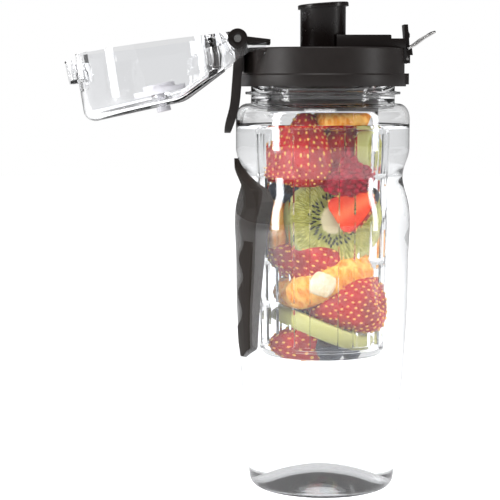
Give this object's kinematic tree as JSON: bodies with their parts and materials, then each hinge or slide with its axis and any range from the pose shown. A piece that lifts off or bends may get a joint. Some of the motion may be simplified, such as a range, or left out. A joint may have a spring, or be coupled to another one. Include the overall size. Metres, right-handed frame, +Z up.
{
  "type": "fruit infuser water bottle",
  "caption": "Clear water bottle with a slotted fruit infuser basket under a screw cap, a flip lid over the spout, a latch, a carry loop and a rubber grip.",
  "frame": {"origin": "on the bottle's axis, on the plane that its foot ring stands on", "axes": "+Z up along the bottle's axis, +X towards the latch, -X towards the hinge and the grip"},
  "size_m": [0.1885, 0.0906, 0.2511],
  "materials": {
    "clear_body": "clear moulded plastic, glossy",
    "clear_lid": "clear moulded plastic, glossy",
    "clear_basket": "clear moulded plastic, glossy",
    "grip_rubber": "matt, textured",
    "cap_black": "fine satin",
    "spout_black": "semi gloss",
    "latch_black": "semi gloss",
    "gasket_silicone": "translucent white, matt",
    "seal_silicone": "translucent grey, matt",
    "steel": "bright drawn wire"
  },
  "bodies": {
    "bottle": {"bottle_body": "clear_body", "grip_pad": "grip_rubber"},
    "gasket": {"cap_gasket": "gasket_silicone"},
    "cap": {"cap_shell": "cap_black", "spout": "spout_black", "spout_gasket": "gasket_silicone", "latch_housing": "latch_black", "latch_pin": "steel", "latch_spring": "steel", "hinge_pin": "steel", "pin_caps": "latch_black", "infuser_collar": "cap_black"},
    "lid": {"lid_shell": "clear_lid", "lid_seal": "seal_silicone", "seal_retainer": "seal_silicone"},
    "loop": {"carry_loop": "cap_black"},
    "lever": {"latch_lever": "latch_black"},
    "bail": {"wire_bail": "steel"},
    "basket_ring": {"basket_seal": "gasket_silicone"},
    "basket": {"basket_body": "clear_basket", "basket_base": "clear_basket"}
  },
  "joints": [
    {"name": "cap_rise", "type": "slide", "parent": "bottle", "child": "gasket", "axis": [0, 0, 1], "range_m": [0, 0.0051]},
    {"name": "cap_turn", "type": "hinge", "parent": "gasket", "child": "cap", "pos_m": [0, 0, 0.2], "axis": [0, 0, 1], "range_deg": [0, 450]},
    {"name": "lid_flip", "type": "hinge", "parent": "cap", "child": "lid", "pos_m": [-0.0435, 0, 0.2315], "axis": [0, 1, 0], "range_deg": [0, 187.9]},
    {"name": "loop_swing", "type": "hinge", "parent": "cap", "child": "loop", "pos_m": [-0.0435, 0, 0.2315], "axis": [0, 1, 0], "range_deg": [0, 12]},
    {"name": "lever_press", "type": "hinge", "parent": "cap", "child": "lever", "pos_m": [0.0426, 0, 0.2218], "axis": [0, -1, 0], "range_deg": [0, 7], "stiffness_Nm_per_rad": 0.03, "deforming": ["latch_spring"]},
    {"name": "bail_swing", "type": "hinge", "parent": "cap", "child": "bail", "pos_m": [0.0427, 0, 0.2269], "axis": [0, -1, 0], "range_deg": [-70, 57.5]},
    {"name": "basket_drop", "type": "slide", "parent": "cap", "child": "basket_ring", "axis": [0, 0, -1], "range_m": [0, 0.0061]},
    {"name": "basket_turn", "type": "hinge", "parent": "basket_ring", "child": "basket", "pos_m": [0, 0, 0.15], "axis": [0, 0, 1], "range_deg": [0, 540]}
  ],
  "couplings": [
    {"joint": "cap_rise", "follows": "cap_turn", "m_per_rad": 0.00063662},
    {"joint": "basket_drop", "follows": "basket_turn", "m_per_rad": 0.00063662}
  ]
}
